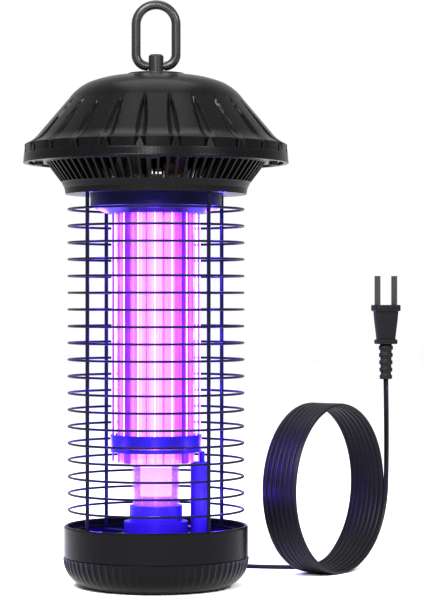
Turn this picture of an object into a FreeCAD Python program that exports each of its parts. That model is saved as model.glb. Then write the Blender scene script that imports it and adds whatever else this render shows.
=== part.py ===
"""Electric bug zapper: a hanging lantern with a lamp, a high-voltage wire grid and a catch tray.

Frame: +Z up, front towards -Y, origin at the centre of the tray's flat bottom. Millimetres, degrees.
Angles round the lantern are counted from +X, so the front is at -90.
"""
import FreeCAD, Part
import math
import os

import Sketcher

Vector = FreeCAD.Vector
Rotation = FreeCAD.Rotation
Z_AXIS = Vector(0, 0, 1)

SIZES = {
    # Catch tray
    "tray_radius": 59.4,
    "tray_top": 19.5,
    "tray_foot_radius": 40.4,
    "tray_corner": 19.0,
    "tray_wall": 2.0,
    "flute_count": 72,
    "flute_radius": 0.9,
    "flute_depth": 0.45,
    "flute_bottom": 5.5,
    "tray_neck_radius": 56.3,
    "tray_neck_top": 24.7,
    "lug_radius": 57.6,
    "lug_bottom": 22.6,
    "lug_height": 1.8,
    "lug_angle": 14,
    "tray_travel": 22,
    "lug_count": 3,
    # Base ring and spider
    "base_radius": 58.9,
    "base_bottom": 19.8,
    "base_top": 39.4,
    "base_inner_radius": 56.7,
    "channel_radius": 58.1,
    "channel_bottom": 22.3,
    "channel_height": 2.4,
    "ledge_radius": 51.0,
    "ledge_bottom": 34.0,
    "ledge_top": 35.6,
    "spider_bottom": 31.0,
    "spider_top": 34.0,
    "spider_ring_radius": 50.0,
    "hub_radius": 23.0,
    "arm_width": 3.0,
    "arm_count": 8,
    # Cage
    "cage_radius": 56.6,
    "cage_wire": 0.75,
    "cage_ring_count": 19,
    "cage_first": 49.2,
    "cage_pitch": 10.66,
    "rod_circle": 54.0,
    "rod_radius": 1.2,
    "rod_bottom": 28.8,
    "rod_top": 255.6,
    "rod_turn": 38.7,
    "nut_flats": 3.9,
    "nut_height": 1.8,
    # Vent neck
    "neck_bottom": 250.7,
    "neck_lip_radius": 57.9,
    "neck_band_radius": 58.5,
    "neck_band_top": 254.4,
    "fin_bottom_radius": 60.2,
    "fin_bottom": 257.9,
    "fin_top_radius": 70.5,
    "fin_top": 271.5,
    "fin_depth": 4.0,
    "fin_count": 72,
    "slot_width": 4.3,
    "slot_margin": 0.7,
    "neck_floor_top": 253.5,
    "neck_hole_radius": 16.0,
    "flange_radius": 79.0,
    "flange_top": 273.5,
    # Hood
    "rim_radius": 83.8,
    "rim_lip": 1.0,
    "rim_bottom": 270.5,
    "rim_top": 278.0,
    "rim_plate_top": 275.5,
    "rim_plate_radius": 66.5,
    "tooth_count": 24,
    "tooth_width": 4.8,
    "tooth_tip": 282.2,
    "hood_turn": 9.6,
    "hood_wall": 2.2,
    "skirt_top": 282.4,
    "slope_foot_radius": 75.6,
    "slope_foot_height": 288.1,
    "shoulder_radius": 56.2,
    "shoulder_height": 311.0,
    "crown_radius": 43.6,
    "crown_height": 321.7,
    "cap_radius": 17.9,
    "cap_height": 326.7,
    "groove_count": 24,
    "groove_head_radius": 0.4,
    "groove_foot_radius": 3.6,
    "groove_length": 37,
    "boss_circle": 75.0,
    "boss_radius": 3.6,
    "boss_top": 284.0,
    "hood_screw_radius": 1.5,
    # Hanging gear
    "disc_thickness": 1.4,
    "post_radius": 4.8,
    "post_top": 340.2,
    "post_chamfer": 1.0,
    "shank_radius": 3.0,
    "shank_bottom": 316.0,
    "washer_radius": 9.0,
    "washer_thickness": 1.2,
    "post_nut_flats": 10.0,
    "post_nut_height": 5.0,
    "ring_axis_height": 332.8,
    "ring_wire": 2.9,
    "ring_half_width": 12.8,
    "ring_top": 375.0,
    "ring_bend": 7.5,
    "pin_radius": 2.1,
    "pin_clearance": 0.05,
    "pin_gap": 0.6,
    # Collar and grid
    "collar_radius": 42.0,
    "collar_shoulder": 243.0,
    "collar_foot_radius": 32.0,
    "collar_bottom": 238.5,
    "collar_floor": 241.5,
    "chamber_outer_radius": 31.5,
    "chamber_inner_radius": 16.5,
    "lamp_seat_radius": 12.0,
    "grid_circle": 28.0,
    "grid_wire": 0.45,
    "grid_wire_count": 16,
    "live_bottom": 80.2,
    "live_top": 242.2,
    "return_bottom": 90.6,
    "return_top": 244.0,
    "bus_height": 1.0,
    "bus_half_width": 0.6,
    "live_bus": 89.0,
    "return_bus": 243.0,
    "grid_ring_outer": 29.2,
    "grid_ring_inner": 26.6,
    "grid_ring_bottom": 90.2,
    "grid_ring_top": 97.2,
    "grid_band_bottom": 86.4,
    "grid_band_top": 88.8,
    "strut_inner_radius": 24.8,
    "strut_angle": 10,
    "strut_turn": 47,
    "strut_bottom": 79.7,
    "sleeve_wall": 1.0,
    # Lamp
    "lamp_radius": 12.0,
    "lamp_neck_radius": 10.0,
    "lamp_neck_top": 77.0,
    "lamp_shoulder": 82.0,
    "lamp_foot": 58.0,
    "lamp_top": 246.0,
    "lamp_dome": 6.0,
    "glass_wall": 1.0,
    "lamp_base_bottom": 47.0,
    "lamp_pin_radius": 1.2,
    "lamp_pin_circle": 5.5,
    "lamp_pin_bottom": 40.0,
    "skirt_radius": 15.0,
    "skirt_wall": 1.2,
    "lamp_skirt_top": 77.0,
    "socket_radius": 17.0,
    "socket_top": 52.0,
    "socket_foot_radius": 20.5,
    "socket_step": 42.0,
    "socket_screw_circle": 18.7,
    # Pillar and wiring
    "pillar_offset": 27.7,
    "pillar_radius": 5.7,
    "pillar_bore": 4.0,
    "pillar_top": 79.7,
    "pillar_tip_radius": 1.6,
    "lead_radius": 0.7,
    # Electronics
    "board_length": 64.0,
    "board_width": 50.0,
    "board_bottom": 258.0,
    "board_thickness": 1.6,
    "standoff_x": 27.0,
    "standoff_y": 20.0,
    "standoff_radius": 2.8,
    "board_screw_radius": 1.3,
    "choke_x": -14,
    "choke_radius": 7.5,
    "choke_height": 14,
    "choke_reach": 9.5,
    "choke_cheek_thickness": 3,
    "choke_cheek_width": 18,
    "choke_cheek_height": 17,
    "output_terminal_x": -12,
    "output_terminal_y": 18.5,
    "output_terminal_length": 16,
    "output_terminal_width": 7,
    "output_terminal_height": 8,
    # Cord and plug
    "cord_thickness": 2.4,
    "coil_radius": 57.0,
    "coil_wall": 3.4,
    "coil_width": 30.8,
    "coil_x": 112.0,
    "coil_y": 74.0,
    "coil_axis_angle": -35.7,
    "gland_height": 28.0,
    "gland_hole": 2.2,
    "gland_tip": 80.0,
    "gland_foot_radius": 3.8,
    "gland_tip_radius": 2.5,
    "gland_gap": 0.2,
    "gland_inset": 1.4,
    "gland_neck_length": 4.2,
    "gland_lip_radius": 2.7,
    "gland_lip_height": 1.2,
    "plug_x": 155.5,
    "plug_y": 111.5,
    "plug_turn": 21,
    "relief_bottom": 128.8,
    "relief_top": 152.9,
    "relief_foot_width": 7.2,
    "relief_foot_depth": 3.7,
    "relief_head_width": 8.5,
    "relief_head_depth": 3.9,
    "relief_ribs": 5,
    "relief_pitch": 5.0,
    "rib_share": 0.6,
    "rib_width": 8.8,
    "rib_depth": 4.5,
    "rib_width_step": 0.33,
    "rib_depth_step": 0.05,
    "collar_plate_top": 156.0,
    "collar_plate_width": 14.5,
    "collar_plate_depth": 9.4,
    "grip_foot_width": 12.9,
    "grip_foot_depth": 5.0,
    "grip_head_width": 17.0,
    "grip_head_depth": 6.8,
    "face_width": 18.9,
    "face_depth": 10.8,
    "plug_body_top": 175.6,
    "plug_face": 179.8,
    "blade_tip": 199.7,
    "blade_spacing": 12.7,
    "blade_width": 6.3,
    "blade_thickness": 1.5,
}

NODES = []
doc = FreeCAD.newDocument("BugZapper")


# ---------------------------------------------------------------- sheet and expressions

def fill_sheet():
    """One row a size: its name, its number, and the alias that the model is bound to."""
    sheet = doc.addObject("Spreadsheet::Sheet", "Dimensions")
    for row, (alias, number) in enumerate(SIZES.items(), start=1):
        sheet.set("A%d" % row, alias)
        sheet.set("B%d" % row, str(number))
        sheet.setAlias("B%d" % row, alias)
    doc.recompute()


def value(expression):
    """The number of a sum of products of sizes, such as 'base_top - 2 * tray_wall'."""
    total = 0.0
    sign = 1.0
    term = 0.0
    operator = None
    for word in expression.split() + ["+"]:
        if word in ("+", "-"):
            total += sign * term
            sign = 1.0 if word == "+" else -1.0
            term = 0.0
            operator = None
        elif word in ("*", "/"):
            operator = word
        else:
            number = SIZES[word] if word in SIZES else float(word)
            if operator == "*":
                term *= number
            elif operator == "/":
                term /= number
            else:
                term = number
    return total


def bound(expression):
    """The same expression, reading its sizes from the sheet."""
    return " ".join("Dimensions." + word if word in SIZES else word for word in expression.split())


def bind(item, **expressions):
    for name, expression in expressions.items():
        item.setExpression(name, bound(expression))


def place(item, x="0", y="0", z="0", rotation=Rotation()):
    item.Placement = FreeCAD.Placement(Vector(), rotation)
    for axis, expression in zip("xyz", (x, y, z)):
        item.setExpression("Placement.Base." + axis, bound(expression))
    return item


def polar(radius, angle):
    """Expressions for x and y at a radius and an angle, both given as expressions."""
    return ("( %s ) * cos( ( %s ) * 1 deg )" % (radius, angle),
            "( %s ) * sin( ( %s ) * 1 deg )" % (radius, angle))


def around(angle, axis=Z_AXIS):
    return Rotation(axis, angle)


def node(item, label):
    item.Label = label
    NODES.append(item)
    return item


# ---------------------------------------------------------------- Part primitives

def solid(kind, **expressions):
    item = doc.addObject("Part::" + kind, kind)
    bind(item, **expressions)
    return item


def cylinder(radius, bottom, top, x="0", y="0"):
    """An upright cylinder between two heights."""
    item = solid("Cylinder", Radius=radius, Height="%s - ( %s )" % (top, bottom))
    return place(item, x, y, bottom)


def sector(radius, bottom, top, angle, start):
    """A slice of an upright cylinder that covers an angle from a start angle."""
    item = solid("Cylinder", Radius=radius, Height="%s - ( %s )" % (top, bottom), Angle=angle)
    return place(item, z=bottom, rotation=around(value(start)))


def block(length, width, height, x="0", y="0", z="0"):
    """A box centred on x and y, standing on z."""
    item = solid("Box", Length=length, Width=width, Height=height)
    return place(item, "%s - ( %s ) / 2" % (x, length), "%s - ( %s ) / 2" % (y, width), z)


def cut(base, tool):
    item = doc.addObject("Part::Cut", "Cut")
    item.Base = base
    item.Tool = tool
    return item


def fuse(items):
    item = doc.addObject("Part::MultiFuse", "Fuse")
    item.Shapes = items
    return item


def group(items):
    """Separate equal solids that share one node."""
    item = doc.addObject("Part::Compound", "Group")
    item.Links = items
    return item


def tube(outer, inner, bottom, top, x="0", y="0"):
    return cut(cylinder(outer, bottom, top, x, y), cylinder(inner, bottom, top, x, y))


def hexagon(flats, bottom, height, bore, x="0", y="0"):
    prism = solid("Prism", Height=height, Circumradius=flats + " / 1.7320508")
    prism.Polygon = 6
    place(prism, x, y, bottom)
    return cut(prism, cylinder(bore, bottom, bottom + " + " + height, x, y))


def steps(start, count, pitch=None):
    """Evenly spaced angles as expressions: a full circle, or the given pitch."""
    pitch = 360.0 / count if pitch is None else pitch
    return ["%s + %g" % (start, index * pitch) for index in range(count)]


# ---------------------------------------------------------------- PartDesign helpers

def new_body(name):
    return doc.addObject("PartDesign::Body", name)


def origin_of(body, role):
    return next(item for item in body.Origin.OriginFeatures if item.Role == role)


def outline(body, name, corners, arcs=None, plane="XZ_Plane", offset=None):
    """A closed sketch with every corner tied to the sheet.

    corners: (across, up) expressions. arcs: for a side's number, its radius and +1 or -1 for the
    side that it bulges to (+1 is to the left of the way from its first corner to the next).
    """
    arcs = arcs or {}
    sketch = body.newObject("Sketcher::SketchObject", name)
    sketch.AttachmentSupport = (origin_of(body, plane), [""])
    sketch.MapMode = "FlatFace"
    if offset is not None:
        sketch.AttachmentOffset = offset
    points = [Vector(value(across), value(up), 0) for across, up in corners]
    first_end = {}
    last_end = {}
    for side, start in enumerate(points):
        end = points[(side + 1) % len(points)]
        if side in arcs:
            radius, bulge = arcs[side]
            chord = end - start
            normal = Vector(-chord.y, chord.x, 0).normalize() * bulge
            rise = math.sqrt(value(radius) ** 2 - (chord.Length / 2) ** 2)
            centre = (start + end) * 0.5 - normal * rise
            forward = bulge < 0
            ends = (start, end) if forward else (end, start)
            angles = [math.atan2(point.y - centre.y, point.x - centre.x) for point in ends]
            circle = Part.Circle(centre, Z_AXIS, value(radius))
            sketch.addGeometry(Part.ArcOfCircle(circle, *angles), False)
        else:
            sketch.addGeometry(Part.LineSegment(start, end), False)
            forward = True
        first_end[side] = 1 if forward else 2
        last_end[side] = 2 if forward else 1
    for side in range(len(points)):
        following = (side + 1) % len(points)
        sketch.addConstraint(Sketcher.Constraint(
            "Coincident", side, last_end[side], following, first_end[following]))
    for side, (across, up) in enumerate(corners):
        for kind, expression, axis in (("DistanceX", across, -2), ("DistanceY", up, -1)):
            if expression == "0":
                sketch.addConstraint(Sketcher.Constraint(
                    "PointOnObject", side, first_end[side], axis))
                continue
            index = sketch.addConstraint(Sketcher.Constraint(
                kind, -1, 1, side, first_end[side], value(expression)))
            sketch.setExpression("Constraints[%d]" % index, bound(expression))
    for side, (radius, bulge) in arcs.items():
        index = sketch.addConstraint(Sketcher.Constraint("Radius", side, value(radius)))
        sketch.setExpression("Constraints[%d]" % index, bound(radius))
    return sketch


def revolve(body, sketch):
    feature = body.newObject("PartDesign::Revolution", "Revolution")
    feature.Profile = sketch
    feature.ReferenceAxis = (sketch, ["V_Axis"])
    feature.Angle = 360
    return feature


def extrude(body, kind, sketch, length):
    """A Pad or Pocket along the sketch's own normal."""
    feature = body.newObject("PartDesign::" + kind, kind)
    feature.Profile = sketch
    feature.Type = "Length"
    bind(feature, Length=length)
    if kind == "Pocket":
        feature.Reversed = True
    return feature


def primitive(body, kind, x="0", y="0", z="0", rotation=Rotation(), **expressions):
    """An additive or subtractive primitive, placed in the body."""
    feature = body.newObject("PartDesign::" + kind, kind)
    bind(feature, **expressions)
    return place(feature, x, y, z, rotation)


def repeat(body, features, count):
    """Copy features evenly round the Z axis."""
    doc.recompute()
    pattern = body.newObject("PartDesign::PolarPattern", "PolarPattern")
    pattern.Originals = features
    pattern.Axis = (origin_of(body, "Z_Axis"), [""])
    pattern.Angle = 360
    bind(pattern, Occurrences=count)
    body.Tip = pattern
    return pattern


def turned(label, corners, arcs=None):
    """A piece that is one revolved outline."""
    body = new_body(label)
    revolve(body, outline(body, "Outline", corners, arcs))
    return node(body, label)


# ---------------------------------------------------------------- swept leads

def rounded_path(points):
    """Straight runs joined by tangent arcs; each arc takes 0.45 of its shorter run at both ends."""
    edges = []
    radii = []
    start = points[0]
    for before, corner, after in zip(points, points[1:], points[2:]):
        run_in = corner - before
        run_out = after - corner
        reach = 0.45 * min(run_in.Length, run_out.Length)
        turn = run_in.getAngle(run_out)
        radius = reach / math.tan(turn / 2)
        way_in = Vector(run_in).normalize()
        way_out = Vector(run_out).normalize()
        arc_start = corner - way_in * reach
        arc_end = corner + way_out * reach
        inward = (way_out - way_in).normalize()
        middle = corner + inward * (radius / math.cos(turn / 2) - radius)
        edges.append(Part.LineSegment(start, arc_start).toShape())
        edges.append(Part.Arc(arc_start, middle, arc_end).toShape())
        radii.append(radius)
        start = arc_end
    edges.append(Part.LineSegment(start, points[-1]).toShape())
    return Part.Wire(edges), radii


def swept(name, points, radius):
    """A round tube along a rounded path, with its volume compared with section times length."""
    path, radii = rounded_path([Vector(*point) for point in points])
    way = Vector(*points[1]) - Vector(*points[0])
    section = Part.Wire(Part.makeCircle(radius, Vector(*points[0]), way))
    shape = path.makePipeShell([section], True, True)
    expected = math.pi * radius ** 2 * path.Length
    if abs(shape.Volume / expected - 1) > 0.01:
        raise ValueError("%s: volume %g, expected %g" % (name, shape.Volume, expected))
    print("%s: length %.1f, bend radii %s" % (
        name, path.Length, " ".join("%.0f" % radius_found for radius_found in radii)))
    item = doc.addObject("Part::Feature", name)
    item.Shape = shape
    item.Placement = FreeCAD.Placement()
    return item


# ---------------------------------------------------------------- catch tray

def make_catch_tray():
    """Fluted bowl with a rounded foot; a plain neck with three lugs twists into the base ring."""
    body = new_body("catch_tray_bowl")
    corners = [
        ("0", "0"),
        ("tray_foot_radius", "0"),
        ("tray_radius", "tray_corner"),
        ("tray_radius", "tray_top"),
        ("tray_neck_radius", "tray_top"),
        ("tray_neck_radius", "tray_neck_top"),
        ("tray_neck_radius - tray_wall", "tray_neck_top"),
        ("tray_neck_radius - tray_wall", "tray_top - tray_wall"),
        ("tray_radius - tray_wall", "tray_top - tray_wall - 0.4"),
        ("tray_foot_radius", "tray_wall"),
        ("0", "tray_wall"),
    ]
    revolve(body, outline(body, "Outline", corners, {
        1: ("tray_corner", -1),
        8: ("tray_corner - tray_wall", 1)}))
    flute = primitive(body, "SubtractiveCylinder", x="tray_radius + flute_radius - flute_depth",
                      z="flute_bottom", Radius="flute_radius", Height="tray_top - flute_bottom - 1")
    repeat(body, [flute], "flute_count")
    lugs = []
    for start in steps("0", SIZES["lug_count"]):
        lug_top = "lug_bottom + lug_height"
        outer = sector("lug_radius", "lug_bottom", lug_top, "lug_angle", start)
        inner = sector("tray_neck_radius - 0.5", "lug_bottom", lug_top, "lug_angle", start)
        lugs.append(cut(outer, inner))
    node(fuse([body] + lugs), "catch_tray")


# ---------------------------------------------------------------- base

def make_base_ring():
    """Smooth band; inside, a ledge for the spider and three bayonet channels for the tray."""
    body = new_body("base_ring_band")
    revolve(body, outline(body, "Outline", [
        ("base_radius", "base_bottom"),
        ("base_radius", "base_top - 1"),
        ("base_radius - 0.8", "base_top"),
        ("base_inner_radius + 0.4", "base_top"),
        ("base_inner_radius", "base_top - 0.6"),
        ("base_inner_radius", "ledge_top"),
        ("ledge_radius", "ledge_top"),
        ("ledge_radius", "ledge_bottom"),
        ("base_inner_radius", "ledge_bottom"),
        ("base_inner_radius", "base_bottom"),
    ]))
    tools = []
    for start in steps("0", SIZES["lug_count"]):
        channel_top = "channel_bottom + channel_height"
        tools.append(sector("channel_radius", "channel_bottom", channel_top,
                            "lug_angle + tray_travel + 2", start + " - tray_travel - 1"))
        tools.append(sector("channel_radius", "base_bottom - 1", channel_top,
                            "lug_angle + 2", start + " - tray_travel - 1"))
    for angle in steps("rod_turn", 4):
        tools.append(cylinder("rod_radius", "rod_bottom", "base_top", *polar("rod_circle", angle)))
    tools.append(place(solid("Cylinder", Radius="gland_hole", Height="base_radius"),
                       z="gland_height", rotation=around(-90, Vector(1, 0, 0))))
    node(cut(body, fuse(tools)), "base_ring")


def make_spider():
    """Open arms between an outer ring and a hub, so that insects drop into the tray."""
    top = "spider_top"
    bottom = "spider_bottom"
    pieces = [tube("base_inner_radius", "spider_ring_radius", bottom, top),
              cylinder("hub_radius", bottom, top),
              cylinder("pillar_radius + 1.5", bottom, top, x="pillar_offset"),
              block("16", "14", "spider_top - spider_bottom", y="38", z=bottom)]
    for angle in steps("0", SIZES["arm_count"]):
        arm = solid("Box", Length="spider_ring_radius - hub_radius + 2", Width="arm_width",
                    Height="spider_top - spider_bottom")
        turn = value(angle)
        pieces.append(place(
            arm,
            "( hub_radius - 1 ) * cos( %g deg ) + arm_width / 2 * sin( %g deg )" % (turn, turn),
            "( hub_radius - 1 ) * sin( %g deg ) - arm_width / 2 * cos( %g deg )" % (turn, turn),
            bottom, around(turn)))
    holes = [cylinder("rod_radius", "rod_bottom", "base_top", *polar("rod_circle", angle))
             for angle in steps("rod_turn", 4)]
    holes += [cylinder("1", bottom, top, *polar("socket_screw_circle", angle))
              for angle in steps("45", 2)]
    holes += [block("3", "10", "spider_top - spider_bottom", x=x, y="53", z=bottom)
              for x in ("-3", "3")]
    node(cut(fuse(pieces), fuse(holes)), "base_spider")


# ---------------------------------------------------------------- cage

def make_cage():
    rings = []
    for index in range(SIZES["cage_ring_count"]):
        ring = solid("Torus", Radius1="cage_radius - cage_wire", Radius2="cage_wire")
        rings.append(place(ring, z="cage_first + %d * cage_pitch" % index))
    node(group(rings), "cage_rings")
    rods = [cylinder("rod_radius", "rod_bottom", "rod_top", *polar("rod_circle", angle))
            for angle in steps("rod_turn", 4)]
    node(group(rods), "cage_rods")
    for label, bottom in (("top_rod_nuts", "neck_floor_top"),
                          ("bottom_rod_nuts", "spider_bottom - nut_height")):
        nuts = [hexagon("nut_flats", bottom, "nut_height", "rod_radius", *polar("rod_circle", angle))
                for angle in steps("rod_turn", 4)]
        node(group(nuts), label)


# ---------------------------------------------------------------- neck and hood

def make_vent_neck():
    """Flared neck of fins and slots, with the floor plate that carries collar, rods and board."""
    body = new_body("vent_neck")
    revolve(body, outline(body, "Outline", [
        ("neck_hole_radius", "neck_bottom"),
        ("neck_lip_radius", "neck_bottom"),
        ("neck_band_radius", "neck_band_top"),
        ("fin_bottom_radius", "fin_bottom"),
        ("fin_top_radius", "fin_top"),
        ("flange_radius", "fin_top"),
        ("flange_radius", "flange_top"),
        ("fin_top_radius - fin_depth", "flange_top"),
        ("fin_top_radius - fin_depth", "fin_top"),
        ("fin_bottom_radius - fin_depth", "fin_bottom"),
        ("fin_bottom_radius - fin_depth", "neck_floor_top"),
        ("neck_hole_radius", "neck_floor_top"),
    ]))
    for side_x in ("1", "-1"):
        for side_y in ("1", "-1"):
            at = {"x": side_x + " * standoff_x", "y": side_y + " * standoff_y"}
            primitive(body, "AdditiveCylinder", z="neck_floor_top - 1", Radius="standoff_radius",
                      Height="board_bottom - neck_floor_top + 1", **at)
            primitive(body, "SubtractiveCylinder", z="neck_floor_top + 0.5",
                      Radius="board_screw_radius", Height="board_bottom", **at)
    for angle in steps("rod_turn", 4):
        x, y = polar("rod_circle", angle)
        primitive(body, "SubtractiveCylinder", x=x, y=y, z="neck_bottom - 1",
                  Radius="rod_radius", Height="10")
    for angle in steps("0", 3):
        x, y = polar("36", angle)
        primitive(body, "SubtractiveCylinder", x=x, y=y, z="neck_bottom - 1",
                  Radius="1.3", Height="5")
    for angle in steps("0", 4):
        x, y = polar("boss_circle", angle)
        primitive(body, "SubtractiveCylinder", x=x, y=y, z="fin_top - 1",
                  Radius="hood_screw_radius + 0.2", Height="5")
    slot = outline(body, "Slot", [
        ("-0.5 * slot_width", "fin_bottom + slot_margin"),
        ("0.5 * slot_width", "fin_bottom + slot_margin"),
        ("0.5 * slot_width", "fin_top - slot_margin"),
        ("-0.5 * slot_width", "fin_top - slot_margin"),
    ], offset=FreeCAD.Placement(Vector(0, 0, value("fin_bottom_radius - 2 * fin_depth")), Rotation()))
    repeat(body, [extrude(body, "Pocket", slot, "fin_top_radius - neck_lip_radius + 12")],
           "fin_count")
    node(body, "vent_neck")


def tooth_triangle(body, name, foot, reach):
    """The pointed tooth, seen from outside at a reach, turned a little round from the front."""
    turn = around(value("hood_turn"), Vector(0, 1, 0))
    return outline(body, name, [
        ("-0.5 * tooth_width", foot),
        ("0.5 * tooth_width", foot),
        ("0", "tooth_tip"),
    ], offset=FreeCAD.Placement(turn.multVec(Vector(0, 0, value(reach))), turn))


def make_hood_rim():
    """Band with a lip and pointed teeth, and the underside plate that closes the hood."""
    body = new_body("hood_rim")
    revolve(body, outline(body, "Outline", [
        ("rim_radius", "rim_top"),
        ("rim_radius", "rim_bottom + 1.2"),
        ("rim_radius + rim_lip", "rim_bottom"),
        ("rim_radius - hood_wall", "rim_bottom"),
        ("rim_radius - hood_wall", "flange_top"),
        ("rim_plate_radius", "flange_top"),
        ("rim_plate_radius", "rim_plate_top"),
        ("rim_radius - hood_wall", "rim_plate_top"),
        ("rim_radius - hood_wall", "rim_top"),
    ]))
    triangle = tooth_triangle(body, "Tooth", "rim_top - 1", "rim_radius - 1.4")
    repeat(body, [extrude(body, "Pad", triangle, "1.7")], "tooth_count")
    for angle in steps("0", 4):
        x, y = polar("boss_circle", angle)
        primitive(body, "SubtractiveCylinder", x=x, y=y, z="flange_top - 1",
                  Radius="hood_screw_radius + 0.2", Height="5")
    node(body, "hood_rim")


def make_hood_shell():
    """Domed cover: crown, shoulder, straight slope and short skirt, with grooves down the slope."""
    inset = "0.7 * hood_wall"
    body = new_body("hood_shell")
    revolve(body, outline(body, "Outline", [
        ("shank_radius + 0.1", "cap_height"),
        ("cap_radius", "cap_height"),
        ("crown_radius", "crown_height"),
        ("shoulder_radius", "shoulder_height"),
        ("slope_foot_radius", "slope_foot_height"),
        ("rim_radius", "skirt_top"),
        ("rim_radius", "rim_top"),
        ("rim_radius - hood_wall", "rim_top"),
        ("rim_radius - hood_wall", "skirt_top - %s" % inset),
        ("slope_foot_radius - %s" % inset, "slope_foot_height - %s" % inset),
        ("shoulder_radius - %s" % inset, "shoulder_height - %s" % inset),
        ("crown_radius - %s" % inset, "crown_height - hood_wall"),
        ("cap_radius", "cap_height - hood_wall"),
        ("shank_radius + 0.1", "cap_height - hood_wall"),
    ], {
        1: ("67", 1),
        2: ("32", 1),
        4: ("24", -1),
        8: ("26", 1),
        10: ("30", -1),
        11: ("65", -1),
    }))
    boss = primitive(body, "AdditiveCylinder", x="boss_circle", z="rim_plate_top",
                     Radius="boss_radius", Height="boss_top - rim_plate_top")
    core = primitive(body, "SubtractiveCylinder", x="boss_circle", z="rim_plate_top",
                     Radius="hood_screw_radius", Height="boss_top - rim_plate_top - 1.4")
    repeat(body, [boss, core], "4")
    front = value("hood_turn") - 90
    fall = math.degrees(math.atan2(value("shoulder_height - slope_foot_height"),
                                   value("slope_foot_radius - shoulder_radius")))
    lean = around(90 + fall - 4, Vector(0, 1, 0))
    x, y = polar("shoulder_radius", "%g" % front)
    groove = primitive(body, "SubtractiveCone", x=x, y=y, z="shoulder_height",
                       rotation=around(front) * lean,
                       Radius1="groove_head_radius", Radius2="groove_foot_radius",
                       Height="groove_length")
    repeat(body, [groove], "groove_count")
    triangle = tooth_triangle(body, "Notch", "rim_top - 1", "rim_radius - 9")
    repeat(body, [extrude(body, "Pocket", triangle, "14")], "tooth_count")
    node(body, "hood_shell")


def make_hood_screws():
    screws = []
    for angle in steps("0", 4):
        at = polar("boss_circle", angle)
        screws.append(fuse([cylinder("2.8", "fin_top - 2", "fin_top", *at),
                            cylinder("hood_screw_radius", "fin_top", "boss_top - 2", *at)]))
    node(group(screws), "hood_screws")


# ---------------------------------------------------------------- hanging gear

def make_hanging_gear():
    disc_top = "cap_height + disc_thickness"
    node(tube("cap_radius", "shank_radius", "cap_height", disc_top), "post_disc")
    washer_bottom = "cap_height - hood_wall - washer_thickness"
    node(tube("washer_radius", "shank_radius", washer_bottom, "cap_height - hood_wall"),
         "post_washer")
    node(hexagon("post_nut_flats", washer_bottom + " - post_nut_height", "post_nut_height",
                 "shank_radius"), "post_nut")
    post = [cylinder("post_radius", disc_top, "post_top - post_chamfer"),
            place(solid("Cone", Radius1="post_radius", Radius2="post_radius - post_chamfer",
                        Height="post_chamfer"), z="post_top - post_chamfer"),
            cylinder("shank_radius", "shank_bottom", disc_top)]
    bore = solid("Cylinder", Radius="pin_radius + pin_clearance", Height="3 * post_radius")
    place(bore, x="-1.5 * post_radius", z="ring_axis_height",
          rotation=around(90, Vector(0, 1, 0)))
    node(cut(fuse(post), bore), "ring_post")


def make_hanging_ring():
    """Bent rod: a half circle over two straight sides, bent in at the foot to two pins."""
    arch_height = "ring_top - ring_wire - ring_half_width"
    bend_centre = "ring_half_width - ring_bend"
    arch = solid("Torus", Radius1="ring_half_width", Radius2="ring_wire")
    arch.Angle3 = 180
    pieces = [place(arch, z=arch_height, rotation=around(90, Vector(1, 0, 0)))]
    for side in (1, -1):
        sign = "" if side > 0 else "-1 * "
        pieces.append(cylinder("ring_wire", "ring_axis_height + ring_bend", arch_height,
                               x=sign + "ring_half_width"))
        bend = solid("Torus", Radius1="ring_bend", Radius2="ring_wire")
        bend.Angle3 = 90
        upright = around(90, Vector(1, 0, 0))
        quarter = upright * around(-90 if side > 0 else 180)
        pieces.append(place(bend, "%s( %s )" % (sign, bend_centre), "0",
                            "ring_axis_height + ring_bend", quarter))
        pin = solid("Cylinder", Radius="pin_radius", Height="%s - pin_gap" % bend_centre)
        pieces.append(place(pin, sign + "pin_gap", "0", "ring_axis_height",
                            around(90 * side, Vector(0, 1, 0))))
    node(fuse(pieces), "hanging_ring")


# ---------------------------------------------------------------- electronics

def make_electronics():
    top = "board_bottom + board_thickness"
    board = block("board_length", "board_width", "board_thickness", z="board_bottom")
    corners = [(side_x + " * standoff_x", side_y + " * standoff_y")
               for side_x in ("1", "-1") for side_y in ("1", "-1")]
    holes = [cylinder("board_screw_radius", "board_bottom - 1", top + " + 1", x, y)
             for x, y in corners]
    node(cut(board, fuse(holes)), "driver_board")
    screws = [fuse([cylinder("board_screw_radius", "board_bottom - 3", top, x, y),
                    cylinder("2.4", top, top + " + 1.6", x, y)]) for x, y in corners]
    node(group(screws), "board_screws")
    node(fuse([block("20", "18", "3", x="-14", z=top),
               cylinder("choke_radius", top, top + " + choke_height", x="choke_x"),
               block("20", "18", "3", x="-14", z=top + " + 14"),
               block("choke_cheek_thickness", "choke_cheek_width", "choke_cheek_height",
                     x="choke_x - choke_reach", z=top),
               block("choke_cheek_thickness", "choke_cheek_width", "choke_cheek_height",
                     x="choke_x + choke_reach", z=top)]), "driver_choke")
    node(group([block("13", "5", "10", x="12", y=y, z=top) for y in ("-12", "-5", "2")]),
         "film_capacitors")
    node(cylinder("6", top, top + " + 20", x="14", y="14"), "smoothing_capacitor")
    node(group([place(solid("Cylinder", Radius="1.6", Height="9"), x, "-19", top + " + 1.6",
                      around(90, Vector(0, 1, 0))) for x in ("-16", "-4", "8")]),
         "bleed_resistors")
    node(block("output_terminal_length", "output_terminal_width", "output_terminal_height",
               x="output_terminal_x", y="output_terminal_y", z=top), "output_terminal")


# ---------------------------------------------------------------- collar, lamp and grid

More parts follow.
